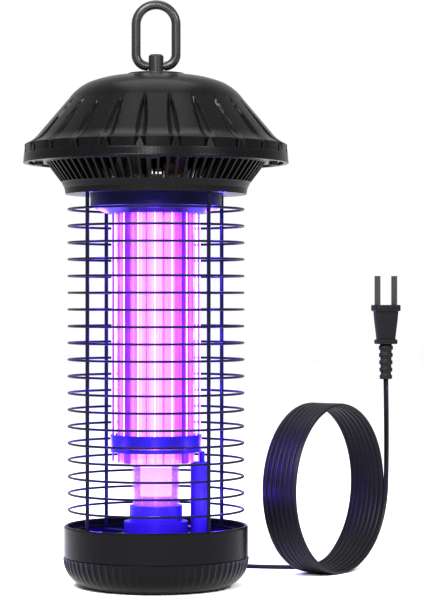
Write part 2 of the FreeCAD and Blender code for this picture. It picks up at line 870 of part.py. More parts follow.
def make_top_collar():
    """Insulating holder: a seat for the lamp's tip and a chamber for the grid's upper ends."""
    body = new_body("top_collar")
    revolve(body, outline(body, "Outline", [
        ("lamp_seat_radius", "collar_bottom"),
        ("collar_foot_radius", "collar_bottom"),
        ("collar_radius", "collar_shoulder"),
        ("collar_radius", "neck_bottom"),
        ("chamber_outer_radius", "neck_bottom"),
        ("chamber_outer_radius", "collar_floor"),
        ("chamber_inner_radius", "collar_floor"),
        ("chamber_inner_radius", "neck_bottom"),
        ("lamp_seat_radius", "neck_bottom"),
    ]))
    hole = primitive(body, "SubtractiveCylinder", x="grid_circle", z="collar_bottom - 1",
                     Radius="grid_wire", Height="6")
    repeat(body, [hole], "2 * grid_wire_count")
    for angle in steps("0", 3):
        x, y = polar("36", angle)
        primitive(body, "SubtractiveCylinder", x=x, y=y, z="neck_bottom - 6",
                  Radius="1.3", Height="8")
    node(body, "top_collar")
    screws = []
    for angle in steps("0", 3):
        at = polar("36", angle)
        screws.append(fuse([cylinder("1.3", "neck_bottom - 6", "neck_floor_top", *at),
                            cylinder("2.6", "neck_floor_top", "neck_floor_top + 1.8", *at)]))
    node(group(screws), "collar_screws")


def make_grid_wires(label, first, bottom, top, bus):
    """Every second wire of the cylinder, welded to its own bus ring."""
    wires = [cylinder("grid_wire", bottom, top, *polar("grid_circle", angle))
             for angle in steps(first, SIZES["grid_wire_count"])]
    ring = tube("grid_circle + bus_half_width", "grid_circle - bus_half_width",
                bus, bus + " + bus_height")
    node(fuse(wires + [ring]), label)


def make_grid_holder(label, bottom, top):
    """Insulating ring with a hole for each wire."""
    body = new_body(label)
    revolve(body, outline(body, "Outline", [
        ("grid_ring_inner", bottom), ("grid_ring_outer", bottom),
        ("grid_ring_outer", top), ("grid_ring_inner", top)]))
    hole = primitive(body, "SubtractiveCylinder", x="grid_circle", z=bottom + " - 1",
                     Radius="grid_wire", Height="12")
    repeat(body, [hole], "2 * grid_wire_count")
    node(body, label)


def make_struts():
    struts = []
    for angle in steps("strut_turn - 0.5 * strut_angle", 4):
        outer = sector("grid_ring_inner", "strut_bottom", "collar_bottom", "strut_angle", angle)
        inner = sector("strut_inner_radius", "strut_bottom", "collar_bottom", "strut_angle", angle)
        struts.append(cut(outer, inner))
    node(group(struts), "grid_struts")


def make_lamp():
    turned("lamp_tube", [
        ("lamp_neck_radius", "lamp_foot"),
        ("lamp_neck_radius", "lamp_neck_top"),
        ("lamp_radius", "lamp_shoulder"),
        ("lamp_radius", "lamp_top - lamp_dome"),
        ("lamp_radius - lamp_dome", "lamp_top"),
        ("0", "lamp_top"),
        ("0", "lamp_top - glass_wall"),
        ("lamp_radius - lamp_dome", "lamp_top - glass_wall"),
        ("lamp_radius - glass_wall", "lamp_top - lamp_dome"),
        ("lamp_radius - glass_wall", "lamp_shoulder"),
        ("lamp_neck_radius - glass_wall", "lamp_neck_top"),
        ("lamp_neck_radius - glass_wall", "lamp_foot"),
    ], {3: ("lamp_dome", -1), 7: ("lamp_dome - glass_wall", 1)})
    node(tube("strut_inner_radius", "strut_inner_radius - sleeve_wall", "strut_bottom",
              "collar_bottom"), "lamp_sleeve")
    node(cylinder("lamp_neck_radius", "lamp_base_bottom", "lamp_foot"), "lamp_base")
    pins = [cylinder("lamp_pin_radius", "lamp_pin_bottom", "lamp_base_bottom",
                     *polar("lamp_pin_circle", angle)) for angle in steps("45", 4)]
    node(group(pins), "lamp_pins")
    node(tube("skirt_radius", "skirt_radius - skirt_wall", "socket_top", "lamp_skirt_top"),
         "lamp_skirt")


def make_socket():
    foot = fuse([cylinder("socket_foot_radius", "spider_top", "socket_step"),
                 cylinder("socket_radius", "socket_step", "socket_top")])
    tools = [cylinder("lamp_neck_radius", "lamp_base_bottom", "socket_top + 1")]
    tools += [cylinder("lamp_pin_radius", "lamp_pin_bottom", "lamp_base_bottom",
                       *polar("lamp_pin_circle", angle)) for angle in steps("45", 4)]
    screws = []
    for angle in steps("45", 2):
        at = polar("socket_screw_circle", angle)
        tools.append(cylinder("1", "spider_top", "spider_top + 6", *at))
        screws.append(fuse([cylinder("1.9", "spider_bottom - 1.5", "spider_bottom", *at),
                            cylinder("1", "spider_bottom", "spider_top + 6", *at)]))
    node(cut(foot, fuse(tools)), "lower_lamp_socket")
    node(group(screws), "socket_screws")


# ---------------------------------------------------------------- pillar and wiring

def make_pillar():
    """Hollow post beside the socket; a tip on its top holds up the grid's lower band."""
    shell = tube("pillar_radius", "pillar_bore", "spider_top", "pillar_top - 3", x="pillar_offset")
    head = cylinder("pillar_radius", "pillar_top - 3", "pillar_top", x="pillar_offset")
    tip = cylinder("pillar_tip_radius", "pillar_top", "grid_band_bottom",
                   x="pillar_offset + 1.8")
    lead_hole = cylinder("1.9", "pillar_top - 4", "pillar_top", x="pillar_offset - 1.8")
    door = block("5", "5", "6", x="pillar_offset", y="pillar_radius - 1.5", z="spider_top")
    node(cut(fuse([shell, head, tip]), fuse([lead_hole, door])), "cable_pillar")


def make_wiring():
    """Leads from the cord's gland to the terminal, and on through the pillar to the board."""
    terminal_top = "spider_top + 9"
    node(block("14", "10", "9", y="38", z="spider_top"), "mains_terminal")
    node(group([cylinder("1.6", terminal_top, terminal_top + " + 0.8", x=x, y="38")
                for x in ("-3.5", "3.5")]), "terminal_screws")
    radius = value("lead_radius")
    height = value("spider_top + 1.8")
    pillar = value("pillar_offset")
    mains = []
    risers = []
    for side in (-1, 1):
        mains.append(swept("mains_lead", [
            (side * 1.0, value("base_inner_radius - 1.6"), value("gland_height + 1")),
            (side * 1.0, 54.0, value("gland_height + 1")),
            (side * 2.8, 50.5, value("gland_height + 1.4")),
            (side * 3.2, 47.4, value("spider_bottom")),
            (side * 3.2, 46.6, value("spider_top + 0.8")),
            (side * 3.4, 45.4, height + 0.6),
            (side * 3.4, 43.0, height + 0.6)], radius))
        risers.append(swept("pillar_lead", [
            (7.0, 37.0 + side, height),
            (11.0, 37.0 + side, height),
            (20.0 + side, 27.0, height),
            (pillar + side, 14.0, height),
            (pillar + side, 2.6, height),
            (pillar - 1.0 + 0.4 * side, 0.5 * side, height + 7.0),
            (pillar - 1.6, 0.9 * side, height + 20.0),
            (pillar - 1.8, 0.9 * side, value("pillar_top"))], radius))
    node(group(mains), "mains_leads")
    node(group(risers), "pillar_leads")


# ---------------------------------------------------------------- cord and plug

def make_gland():
    """Tapered boot outside the base ring, a neck through its wall and a lip inside."""
    y_way = around(-90, Vector(1, 0, 0))
    boot = place(solid("Cone", Radius1="gland_foot_radius", Radius2="gland_tip_radius",
                       Height="gland_tip - base_radius - gland_gap"),
                 y="base_radius + gland_gap", z="gland_height", rotation=y_way)
    neck = place(solid("Cylinder", Radius="gland_hole", Height="gland_neck_length"),
                 y="base_inner_radius - gland_inset", z="gland_height", rotation=y_way)
    lip = place(solid("Cylinder", Radius="gland_lip_radius", Height="gland_lip_height"),
                y="base_inner_radius - gland_inset", z="gland_height", rotation=y_way)
    node(fuse([boot, neck, lip]), "cord_gland")


def make_cord():
    """Lead from the gland to the coil along the floor, the coil on its edge, and the riser."""
    floor = value("cord_thickness / 2")
    gland_end = (0.0, value("gland_tip"), value("gland_height"))
    lead = [
        gland_end,
        (0.0, 93.0, 28.0),
        (6.0, 106.0, 22.0),
        (18.0, 114.5, 12.5),
        (34.0, 112.5, 4.0),
        (49.0, 104.5, floor),
        (64.0, 98.5, floor),
        (79.0, 95.5, floor),
        (92.5, 94.0, floor),
        (104.5, 95.8, floor + 0.3),
        (113.6, 101.2, 4.8),
        (119.9, 107.9, 11.6),
    ]
    node(swept("cord_lead", lead, value("cord_thickness / 2")), "cord_lead")
    plug_x = value("plug_x")
    plug_y = value("plug_y")
    riser = [
        (plug_x, plug_y, value("coil_radius")),
        (plug_x + 0.6, plug_y + 0.8, 93.0),
        (plug_x, plug_y, value("relief_bottom")),
    ]
    node(swept("cord_riser", riser, value("cord_thickness / 2")), "cord_riser")
    turn = around(value("coil_axis_angle")) * around(90, Vector(0, 1, 0))
    angle = "coil_axis_angle * 1 deg"
    rings = []
    for radius in ("coil_radius", "coil_radius - coil_wall"):
        ring = solid("Cylinder", Radius=radius, Height="coil_width")
        rings.append(place(ring, "coil_x - coil_width / 2 * cos( %s )" % angle,
                           "coil_y - coil_width / 2 * sin( %s )" % angle, "coil_radius", turn))
    node(cut(*rings), "cord_coil")


def plug_slab(bottom, top, foot, head):
    """A tapered block of the plug; foot and head are (width, depth) of its two ends."""
    wedge = solid(
        "Wedge", Xmin="-0.5 * ( %s )" % foot[0], Xmax="0.5 * ( %s )" % foot[0],
        Zmin="-0.5 * ( %s )" % foot[1], Zmax="0.5 * ( %s )" % foot[1],
        X2min="-0.5 * ( %s )" % head[0], X2max="0.5 * ( %s )" % head[0],
        Z2min="-0.5 * ( %s )" % head[1], Z2max="0.5 * ( %s )" % head[1],
        Ymin="0", Ymax="%s - ( %s )" % (top, bottom))
    turn = around(value("plug_turn")) * around(90, Vector(1, 0, 0))
    return place(wedge, "plug_x", "plug_y", bottom, turn)


def make_plug():
    """Two-blade plug with a collar plate, a tapered grip and a face flange."""
    plate = ("collar_plate_width", "collar_plate_depth")
    face = ("face_width", "face_depth")
    node(fuse([
        plug_slab("relief_top", "collar_plate_top", plate, plate),
        plug_slab("collar_plate_top", "plug_body_top", ("grip_foot_width", "grip_foot_depth"),
                  ("grip_head_width", "grip_head_depth")),
        plug_slab("plug_body_top", "plug_face", face, face),
    ]), "plug_body")
    blades = []
    for side in ("-0.5", "0.5"):
        blade = solid("Box", Length="blade_thickness", Width="blade_width",
                      Height="blade_tip - plug_face")
        turn = math.radians(SIZES["plug_turn"])
        along = "( %s * blade_spacing - blade_thickness / 2 )" % side
        blades.append(place(
            blade,
            "plug_x + %s * %.9f + blade_width / 2 * %.9f" % (along, math.cos(turn), math.sin(turn)),
            "plug_y + %s * %.9f - blade_width / 2 * %.9f" % (along, math.sin(turn), math.cos(turn)),
            "plug_face", around(SIZES["plug_turn"])))
    node(group(blades), "plug_blades")
    core = plug_slab("relief_bottom", "relief_top", ("relief_foot_width", "relief_foot_depth"),
                     ("relief_head_width", "relief_head_depth"))
    ribs = []
    for index in range(SIZES["relief_ribs"]):
        foot = "relief_bottom + %d * relief_pitch" % index
        width = "rib_width + %d * rib_width_step" % index
        depth = "rib_depth + %d * rib_depth_step" % index
        ribs.append(plug_slab(foot, foot + " + rib_share * relief_pitch", (width, depth), (width, depth)))
    node(fuse([core] + ribs), "plug_strain_relief")


# ---------------------------------------------------------------- build, check and write

def check_model():
    for item in doc.Objects:
        if "Invalid" in item.State or "Error" in item.State:
            raise RuntimeError("%s (%s): %s" % (item.Name, item.Label, item.State))
    for item in NODES:
        if item.Shape.isNull() or not item.Shape.isValid() or not item.Shape.Solids:
            raise RuntimeError("%s has no valid solid" % item.Label)
        print("%-22s solids %2d volume %10.2f" % (
            item.Label, len(item.Shape.Solids), item.Shape.Volume))


def write_steps():
    os.makedirs("parts", exist_ok=True)
    for item in NODES:
        item.Shape.exportStep("parts/%s.step" % item.Label)


fill_sheet()
make_catch_tray()
make_base_ring()
make_spider()
make_cage()
make_vent_neck()
make_hood_rim()
make_hood_shell()
make_hood_screws()
make_hanging_gear()
make_hanging_ring()
make_electronics()
make_top_collar()
make_grid_wires("grid_wires_live", "11.25", "live_bottom", "live_top", "live_bus")
make_grid_wires("grid_wires_return", "0", "return_bottom", "return_top", "return_bus")
make_grid_holder("lower_grid_ring", "grid_ring_bottom", "grid_ring_top")
make_grid_holder("lower_grid_band", "grid_band_bottom", "grid_band_top")
make_struts()
make_lamp()
make_socket()
make_pillar()
make_wiring()
make_gland()
make_cord()
make_plug()
doc.recompute()
check_model()
write_steps()
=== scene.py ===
"""Hanging electric bug zapper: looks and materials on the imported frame, in metres."""
import math

import bmesh
import bpy
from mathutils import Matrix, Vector


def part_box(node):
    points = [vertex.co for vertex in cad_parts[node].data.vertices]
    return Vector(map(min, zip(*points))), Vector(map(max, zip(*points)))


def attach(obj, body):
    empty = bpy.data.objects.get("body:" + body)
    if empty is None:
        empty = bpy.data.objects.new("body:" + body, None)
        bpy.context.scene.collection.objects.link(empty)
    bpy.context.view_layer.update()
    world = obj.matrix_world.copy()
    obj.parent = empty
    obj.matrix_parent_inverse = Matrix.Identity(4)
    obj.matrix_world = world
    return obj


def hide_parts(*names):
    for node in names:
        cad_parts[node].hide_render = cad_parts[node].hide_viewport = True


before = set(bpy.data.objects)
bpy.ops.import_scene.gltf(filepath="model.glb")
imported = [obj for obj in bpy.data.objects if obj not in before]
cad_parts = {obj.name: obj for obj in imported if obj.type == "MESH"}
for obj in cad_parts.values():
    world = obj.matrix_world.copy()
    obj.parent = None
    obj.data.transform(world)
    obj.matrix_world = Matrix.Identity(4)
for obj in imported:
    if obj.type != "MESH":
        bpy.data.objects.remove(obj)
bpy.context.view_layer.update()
MM = 0.001


# ---------------------------------------------------------------- helpers

def metres(points):
    """The points, given in millimetres, as vectors in metres."""
    return [Vector(point) * MM for point in points]


def ring_point(radius, angle, height):
    """A point in metres at a radius, angle and height given in millimetres and radians."""
    return (radius * math.cos(angle) * MM, radius * math.sin(angle) * MM, height * MM)


def link(name, data):
    """Puts a new object with this data in the scene."""
    item = bpy.data.objects.new(name, data)
    bpy.context.scene.collection.objects.link(item)
    return item


def piece(name, mesh, material, body, nodes):
    """Puts a finished mesh in the scene, on its body, in place of its CAD nodes."""
    item = link(name, mesh)
    mesh.materials.append(material)
    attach(item, body)
    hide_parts(*nodes)
    return item


def mesh_from(name, points, faces, smooth=True):
    """A mesh with doubled points merged and its normals facing out."""
    mesh = bpy.data.meshes.new(name)
    mesh.from_pydata(points, [], faces)
    work = bmesh.new()
    work.from_mesh(mesh)
    bmesh.ops.remove_doubles(work, verts=work.verts, dist=1e-6)
    bmesh.ops.recalc_face_normals(work, faces=work.faces)
    work.to_mesh(mesh)
    work.free()
    mesh.polygons.foreach_set("use_smooth", [smooth] * len(mesh.polygons))
    return mesh


def grid_faces(rows, columns, closed_rows):
    """Quads of a grid whose columns run round; closed_rows joins the last row to the first."""
    faces = []
    for row in range(rows if closed_rows else rows - 1):
        after = (row + 1) % rows
        for column in range(columns):
            beside = (column + 1) % columns
            faces.append((row * columns + column, row * columns + beside,
                          after * columns + beside, after * columns + column))
    return faces


def end_faces(count, columns):
    """The two faces that close the first and the last row of a grid with this many points."""
    return [tuple(range(columns)), tuple(range(count - columns, count))]


def soften(item, width, segments=3, angle=30):
    """Rounds an object's hard edges."""
    bevel = item.modifiers.new("soft_edges", "BEVEL")
    bevel.width = width
    bevel.segments = segments
    bevel.limit_method = "ANGLE"
    bevel.angle_limit = math.radians(angle)
    bevel.harden_normals = True


# ---------------------------------------------------------------- materials

def surface(name, dark, light, roughness, grain, bump=0.08, metallic=0.0, stretch=(1, 1, 1),
            glow=None, glow_strength=0.0, alpha=1.0, specular=0.5, painted_glow_streaks=None):
    """Two-tone mottled surface whose roughness and relief follow the same grain."""
    material = bpy.data.materials.new(name)
    material.use_nodes = True
    nodes, links = material.node_tree.nodes, material.node_tree.links
    shader = nodes["Principled BSDF"]
    coords = nodes.new("ShaderNodeTexCoord")
    mapping = nodes.new("ShaderNodeMapping")
    mapping.inputs["Scale"].default_value = stretch
    noise = nodes.new("ShaderNodeTexNoise")
    noise.inputs["Scale"].default_value = grain
    noise.inputs["Detail"].default_value = 5.0
    tones = nodes.new("ShaderNodeValToRGB")
    tones.color_ramp.elements[0].position = 0.32
    tones.color_ramp.elements[0].color = (*dark, 1)
    tones.color_ramp.elements[1].position = 0.68
    tones.color_ramp.elements[1].color = (*light, 1)
    shine = nodes.new("ShaderNodeMapRange")
    shine.inputs["To Min"].default_value = roughness[0]
    shine.inputs["To Max"].default_value = roughness[1]
    relief = nodes.new("ShaderNodeBump")
    relief.inputs["Strength"].default_value = bump
    relief.inputs["Distance"].default_value = 0.0002
    links.new(coords.outputs["Object"], mapping.inputs["Vector"])
    links.new(mapping.outputs["Vector"], noise.inputs["Vector"])
    links.new(noise.outputs["Fac"], tones.inputs["Fac"])
    links.new(noise.outputs["Fac"], shine.inputs["Value"])
    links.new(noise.outputs["Fac"], relief.inputs["Height"])
    links.new(tones.outputs["Color"], shader.inputs["Base Color"])
    links.new(shine.outputs["Result"], shader.inputs["Roughness"])
    links.new(relief.outputs["Normal"], shader.inputs["Normal"])
    shader.inputs["Metallic"].default_value = metallic
    shader.inputs["Specular IOR Level"].default_value = specular
    shader.inputs["Alpha"].default_value = alpha
    # Emission: the lamp's own light on the lamp tube, painted lamp light on every other part.
    if glow:
        shader.inputs["Emission Color"].default_value = (*glow, 1)
        shader.inputs["Emission Strength"].default_value = glow_strength
    # Brighter painted glow streaks that follow the grain.
    if painted_glow_streaks:
        bands = nodes.new("ShaderNodeValToRGB")
        bands.color_ramp.elements[0].position = 0.42
        bands.color_ramp.elements[0].color = (*glow, 1)
        bands.color_ramp.elements[1].position = 0.60
        bands.color_ramp.elements[1].color = (*painted_glow_streaks, 1)
        links.new(noise.outputs["Fac"], bands.inputs["Fac"])
        links.new(bands.outputs["Color"], shader.inputs["Emission Color"])
    return material


def hood_plastic():
    return surface("hood_plastic", (0.0018, 0.0018, 0.002), (0.004, 0.004, 0.0045), (0.22, 0.34),
                   1400, bump=0.10, specular=0.10)


# Black plastic whose blue tint is painted lamp light, not the plastic's own colour.
def collar_plastic_painted_blue():
    return surface("collar_plastic_painted_blue", (0.003, 0.002, 0.020), (0.005, 0.003, 0.034), (0.3, 0.42),
                   1200, specular=0.12)


# Dark blue plastic; its blue glow is painted lamp light.
def ring_plastic_painted_glow():
    return surface("ring_plastic_painted_glow", (0.004, 0.002, 0.05), (0.008, 0.003, 0.09), (0.3, 0.45), 1200,
                   glow=(0.05, 0.0, 0.6), glow_strength=0.18, specular=0.15)


# Blue-violet plastic; its glow is painted lamp light.
def socket_plastic_painted_glow():
    return surface("socket_plastic_painted_glow", (0.010, 0.003, 0.10), (0.018, 0.005, 0.18), (0.3, 0.45), 1200,
                   glow=(0.07, 0.0, 0.9), glow_strength=0.10, specular=0.25)


def dark_metal():
    return surface("dark_metal", (0.02, 0.02, 0.022), (0.035, 0.035, 0.038), (0.25, 0.36), 2200,
                   metallic=0.5, specular=0.2)


def plated_steel():
    return surface("plated_steel", (0.55, 0.55, 0.57), (0.68, 0.68, 0.70), (0.22, 0.36), 3000,
                   metallic=1.0)


# Black coated wire whose slight blue tint is painted lamp light.
def coated_wire_painted_blue():
    return surface("coated_wire_painted_blue", (0.003, 0.003, 0.011), (0.005, 0.005, 0.018), (0.28, 0.4), 2600,
                   specular=0.10)


# Steel grid wire whose violet colour is painted lamp light.
def live_steel_painted_violet():
    return surface("live_steel_painted_violet", (0.20, 0.05, 0.30), (0.32, 0.10, 0.42), (0.25, 0.4), 3000,
                   metallic=0.6, stretch=(1, 1, 0.1))


# Steel grid wire whose pink colour and glow are painted lamp light.
def return_steel_painted_glow():
    return surface("return_steel_painted_glow", (0.85, 0.60, 0.90), (0.95, 0.75, 0.98), (0.2, 0.35), 3000,
                   metallic=0.4, stretch=(1, 1, 0.1), glow=(1.0, 0.55, 1.0), glow_strength=0.5)


# Violet plastic struts; their glow is painted lamp light.
def strut_plastic_painted_glow():
    return surface("strut_plastic_painted_glow", (0.05, 0.0, 0.16), (0.09, 0.0, 0.24), (0.35, 0.5), 500,
                   stretch=(1, 1, 0.15), glow=(0.22, 0.0, 0.50), glow_strength=0.7)


def lit_glass():
    return surface("lit_glass", (0.45, 0.16, 0.46), (0.6, 0.25, 0.6), (0.1, 0.2), 120,
                   stretch=(1, 1, 0.2), glow=(1.0, 0.66, 1.0), glow_strength=2.8)


# Clear pink sleeve; its glow and its brighter vertical streaks are painted lamp light.
def sleeve_glass_painted_glow():
    return surface("sleeve_glass_painted_glow", (0.30, 0.05, 0.32), (0.42, 0.10, 0.44), (0.15, 0.3), 330,
                   stretch=(1, 1, 0.004), glow=(0.72, 0.10, 0.85), glow_strength=0.62, alpha=0.60,
                   painted_glow_streaks=(1.0, 0.42, 1.0))


# Clear violet skirt; its glow is painted lamp light.
def skirt_glass_painted_glow():
    return surface("skirt_glass_painted_glow", (0.12, 0.03, 0.4), (0.2, 0.06, 0.5), (0.15, 0.3), 160,
                   stretch=(1, 1, 0.1), glow=(0.40, 0.10, 1.0), glow_strength=0.6, alpha=0.5)


def cord_rubber():
    return surface("cord_rubber", (0.003, 0.003, 0.0035), (0.007, 0.007, 0.008), (0.34, 0.48),
                   1800, bump=0.15, specular=0.16)


def blade_brass():
    return surface("blade_brass", (0.03, 0.029, 0.027), (0.06, 0.058, 0.052), (0.3, 0.45), 2500,
                   metallic=0.6, specular=0.2)


def painted(name, dark, light):
    """Finish of an inner electrical piece."""
    return surface(name, dark, light, (0.35, 0.55), 1500)


# ---------------------------------------------------------------- camera, light and floor

CAMERA_PLACE = (0.0358, -1.472, 0.1832)
CAMERA_LENS = 138
FLOOR_HALF = 6.0
LIGHT_AIM = (0, 0, 0.2)
GLOW_COLUMNS = 6
GLOW_TURN = 30
GLOW_RADIUS = 0.046
GLOW_HEIGHTS = (0.055, 0.09, 0.125, 0.16, 0.195, 0.23)
GLOW_POWER = 0.10
GLOW_COLOUR = (0.12, 0.04, 1.0)


def set_stage():
    """Camera level with the middle of the lantern, in a plain white studio."""
    camera = bpy.data.cameras.new("camera")
    camera.lens = CAMERA_LENS
    camera.sensor_width = 36
    item = link("camera", camera)
    item.location = CAMERA_PLACE
    item.rotation_euler = (math.radians(90), 0, 0)
    bpy.context.scene.camera = item
    bpy.context.scene.view_settings.view_transform = "Standard"
    bpy.context.scene.view_settings.gamma = 0.82
    world = bpy.data.worlds.new("studio")
    bpy.context.scene.world = world
    world.use_nodes = True
    world.node_tree.nodes["Background"].inputs["Color"].default_value = (1, 1, 1, 1)
    world.node_tree.nodes["Background"].inputs["Strength"].default_value = 1.0


def floor():
    """Plain pale floor under the object."""
    corners = [(x * FLOOR_HALF, y * FLOOR_HALF, 0) for x, y in ((-1, -1), (1, -1), (1, 1), (-1, 1))]
    mesh = mesh_from("floor", corners, [(0, 1, 2, 3)], smooth=False)
    mesh.materials.append(surface("pale_floor", (0.95, 0.95, 0.95), (0.98, 0.98, 0.98),
                                  (0.7, 0.8), 30, bump=0.0))
    link("floor", mesh)


def soft_light(name, place, size, power):
    """White area light aimed at the lower half of the lantern."""
    light = bpy.data.lights.new(name, "AREA")
    light.size = size
    light.energy = power
    item = link(name, light)
    item.location = place
    item.rotation_euler = (Vector(LIGHT_AIM) - Vector(place)).to_track_quat("-Z", "Y").to_euler()


def glow_light(name, place):
    """Small unseen blue light between the grid and the cage."""
    light = bpy.data.lights.new(name, "POINT")
    light.energy = GLOW_POWER
    light.color = GLOW_COLOUR
    light.shadow_soft_size = 0.004
    item = link(name, light)
    item.location = place
    item.visible_camera = False


def set_lights():
    """Soft white lights around the object and the lamp's blue light on the cage."""
    soft_light("key", (-0.5, -1.1, 1.2), 0.45, 44)
    soft_light("fill", (0.9, -0.9, 0.9), 0.35, 22)
    soft_light("top", (0.0, 0.2, 1.6), 1.0, 14)
    soft_light("front", (-0.12, -1.7, 0.85), 0.30, 26)
    for index in range(GLOW_COLUMNS):
        angle = math.radians(GLOW_TURN + 360 / GLOW_COLUMNS * index)
        for height in GLOW_HEIGHTS:
            glow_light("glow_%d_%d" % (index, round(height * 1000)),
                       (GLOW_RADIUS * math.cos(angle), GLOW_RADIUS * math.sin(angle), height))


# ---------------------------------------------------------------- mains lead and plug

# Control points in millimetres; the coil's first and last points join the lead to the riser.
LEAD = [(0, 80, 28), (0, 93, 28), (6, 106, 22), (18, 114.5, 12.5), (34, 112.5, 4), (49, 104.5, 1.2),
        (64, 98.5, 1.2), (79, 95.5, 1.2), (92.5, 94, 1.2), (104.5, 95.8, 1.5), (113.6, 101.2, 4.8)]
RISER = [(156.1, 112.3, 93), (155.5, 111.5, 128.8)]
COIL_CENTRE = Vector((112, 74, 57))
COIL_AXIS = Vector((0.812, -0.584, 0)).normalized()
COIL_SIDE = Vector((0.584, 0.812, 0)).normalized()
COIL_RADIUS = 55.8
COIL_HALF = 13.4
COIL_ANGLES = (35, 2610)
COIL_STEPS = 24
LEAD_WIDTH = 3.8
LEAD_THICKNESS = 2.4
LEAD_SIDES = 20
PLUG_CENTRE = Vector((155.5, 111.5, 0))
PLUG_TURN = 21
RELIEF_FOOT = 128.8
RELIEF_TOP = 152.9
RELIEF_RIBS = 5
RELIEF_PITCH = 5.0


def coil_points():
    """Control points of the upright coil, set out a little so that the spline keeps its radius."""
    first, last = COIL_ANGLES
    count = round((last - first) / 360 * COIL_STEPS)
    reach = COIL_RADIUS / math.cos(math.radians(180 / COIL_STEPS))
    points = []
    for index in range(count + 1):
        share = index / count
        angle = math.radians(first + (last - first) * share)
        points.append(COIL_CENTRE + COIL_AXIS * (COIL_HALF * (2 * share - 1))
                      + COIL_SIDE * (reach * math.sin(angle))
                      - Vector((0, 0, reach * math.cos(angle))))
    return points


def lead_route():
    """The whole lead as one smooth spline, and the points read from it."""
    curve = bpy.data.curves.new("lead_route", "CURVE")
    curve.dimensions = "3D"
    curve.resolution_u = 6
    spline = curve.splines.new("NURBS")
    points = metres(LEAD) + metres(coil_points()) + metres(RISER)
    spline.points.add(len(points) - 1)
    for control, point in zip(spline.points, points):
        control.co = (*point, 1)
    spline.order_u = 3
    spline.use_endpoint_u = True
    item = link("lead_route", curve)
    bpy.context.view_layer.update()
    line = bpy.data.meshes.new_from_object(item)
    route = [vertex.co.copy() for vertex in line.vertices]
    bpy.data.objects.remove(item)
    return route


def lead_profile():
    """Cross-section of a flat twin lead: two lobes with a groove between, across and through."""
    outline = []
    for index in range(LEAD_SIDES):
        angle = math.radians(360 / LEAD_SIDES * index)
        across = 0.5 * LEAD_WIDTH * math.cos(angle)
        groove = 1 - 0.22 * math.exp(-(across / 0.42) ** 2)
        through = 0.5 * LEAD_THICKNESS * math.copysign(abs(math.sin(angle)) ** 0.75, math.sin(angle))
        outline.append((across * MM, through * groove * MM))
    return outline


def lead_frames(route):
    """Tangent and width direction along the route, carried without twist from the coil."""
    tangents = [(route[min(i + 1, len(route) - 1)] - route[max(i - 1, 0)]).normalized()
                for i in range(len(route))]
    middle = len(route) // 2
    widths = [None] * len(route)
    widths[middle] = (COIL_AXIS - tangents[middle] * COIL_AXIS.dot(tangents[middle])).normalized()
    for order in (range(middle + 1, len(route)), range(middle - 1, -1, -1)):
        width = widths[middle]
        for index in order:
            width = (width - tangents[index] * width.dot(tangents[index])).normalized()
            widths[index] = width
    return tangents, widths


def mains_lead():
    """The whole lead as one piece: floor run, coil and riser, with the plug on its end."""
    route = lead_route()
    profile = lead_profile()
    points = []
    for spot, tangent, width in zip(route, *lead_frames(route)):
        depth = tangent.cross(width)
        points += [spot + width * across + depth * through for across, through in profile]
    faces = grid_faces(len(route), len(profile), False)
    faces += end_faces(len(points), len(profile))
    lead = piece("mains_lead", mesh_from("mains_lead", points, faces), cord_rubber(), "lantern",
                 ["cord_lead", "cord_coil", "cord_riser"])
    plug_pieces() + [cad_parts["cord_gland"]]


def plug_block(sections, corner=8, power=4.0):
    """Block lofted through (z, width, depth) sections with softly rounded outlines."""
    turn = math.radians(PLUG_TURN)
    across = Vector((math.cos(turn), math.sin(turn), 0))
    through = Vector((-math.sin(turn), math.cos(turn), 0))
    columns = corner * 4
    points = []
    for height, width, depth in sections:
        for index in range(columns):
            angle = 2 * math.pi * (index + 0.5) / columns
            x = 0.5 * width * math.copysign(abs(math.cos(angle)) ** (2 / power), math.cos(angle))
            y = 0.5 * depth * math.copysign(abs(math.sin(angle)) ** (2 / power), math.sin(angle))
            points.append((PLUG_CENTRE + across * x + through * y + Vector((0, 0, height))) * MM)
    faces = grid_faces(len(sections), columns, False)
    faces += end_faces(len(points), columns)
    return points, faces


def plug_pieces():
    """The plug's moulded body and its ribbed strain relief; the blades stay as the frame has them."""
    points, faces = plug_block([
        (RELIEF_TOP, 13.9, 8.8), (153.3, 14.5, 9.4), (155.6, 14.5, 9.4), (156.0, 13.9, 8.8),
        (156.1, 12.9, 5.0), (162.0, 14.2, 5.6), (169.0, 15.9, 6.3), (175.5, 17.0, 6.8),
        (175.6, 18.3, 10.2), (176.1, 18.9, 10.8), (179.3, 18.9, 10.8), (179.8, 18.3, 10.2)],
        corner=12, power=7.0)
    body = piece("plug_grip", mesh_from("plug_grip", points, faces, smooth=False), cord_rubber(),
                 "lantern", ["plug_body"])
    soften(body, 0.0003)
    sections = []
    for index in range(RELIEF_RIBS):
        foot = RELIEF_FOOT + RELIEF_PITCH * index
        core = (7.2 + 0.3 * index, 3.7 + 0.05 * index)
        rib = (8.8 + 0.33 * index, 4.5 + 0.05 * index)
        sections += [(foot, *core), (foot + 0.3, *rib), (foot + 2.7, *rib), (foot + 3.0, *core)]
    sections.append((RELIEF_TOP, 8.5, 3.9))
    points, faces = plug_block(sections, power=3.0)
    relief = piece("plug_relief", mesh_from("plug_relief", points, faces), cord_rubber(),
                   "lantern", ["plug_strain_relief"])
    return [body, relief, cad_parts["plug_blades"]]


# ---------------------------------------------------------------- hood

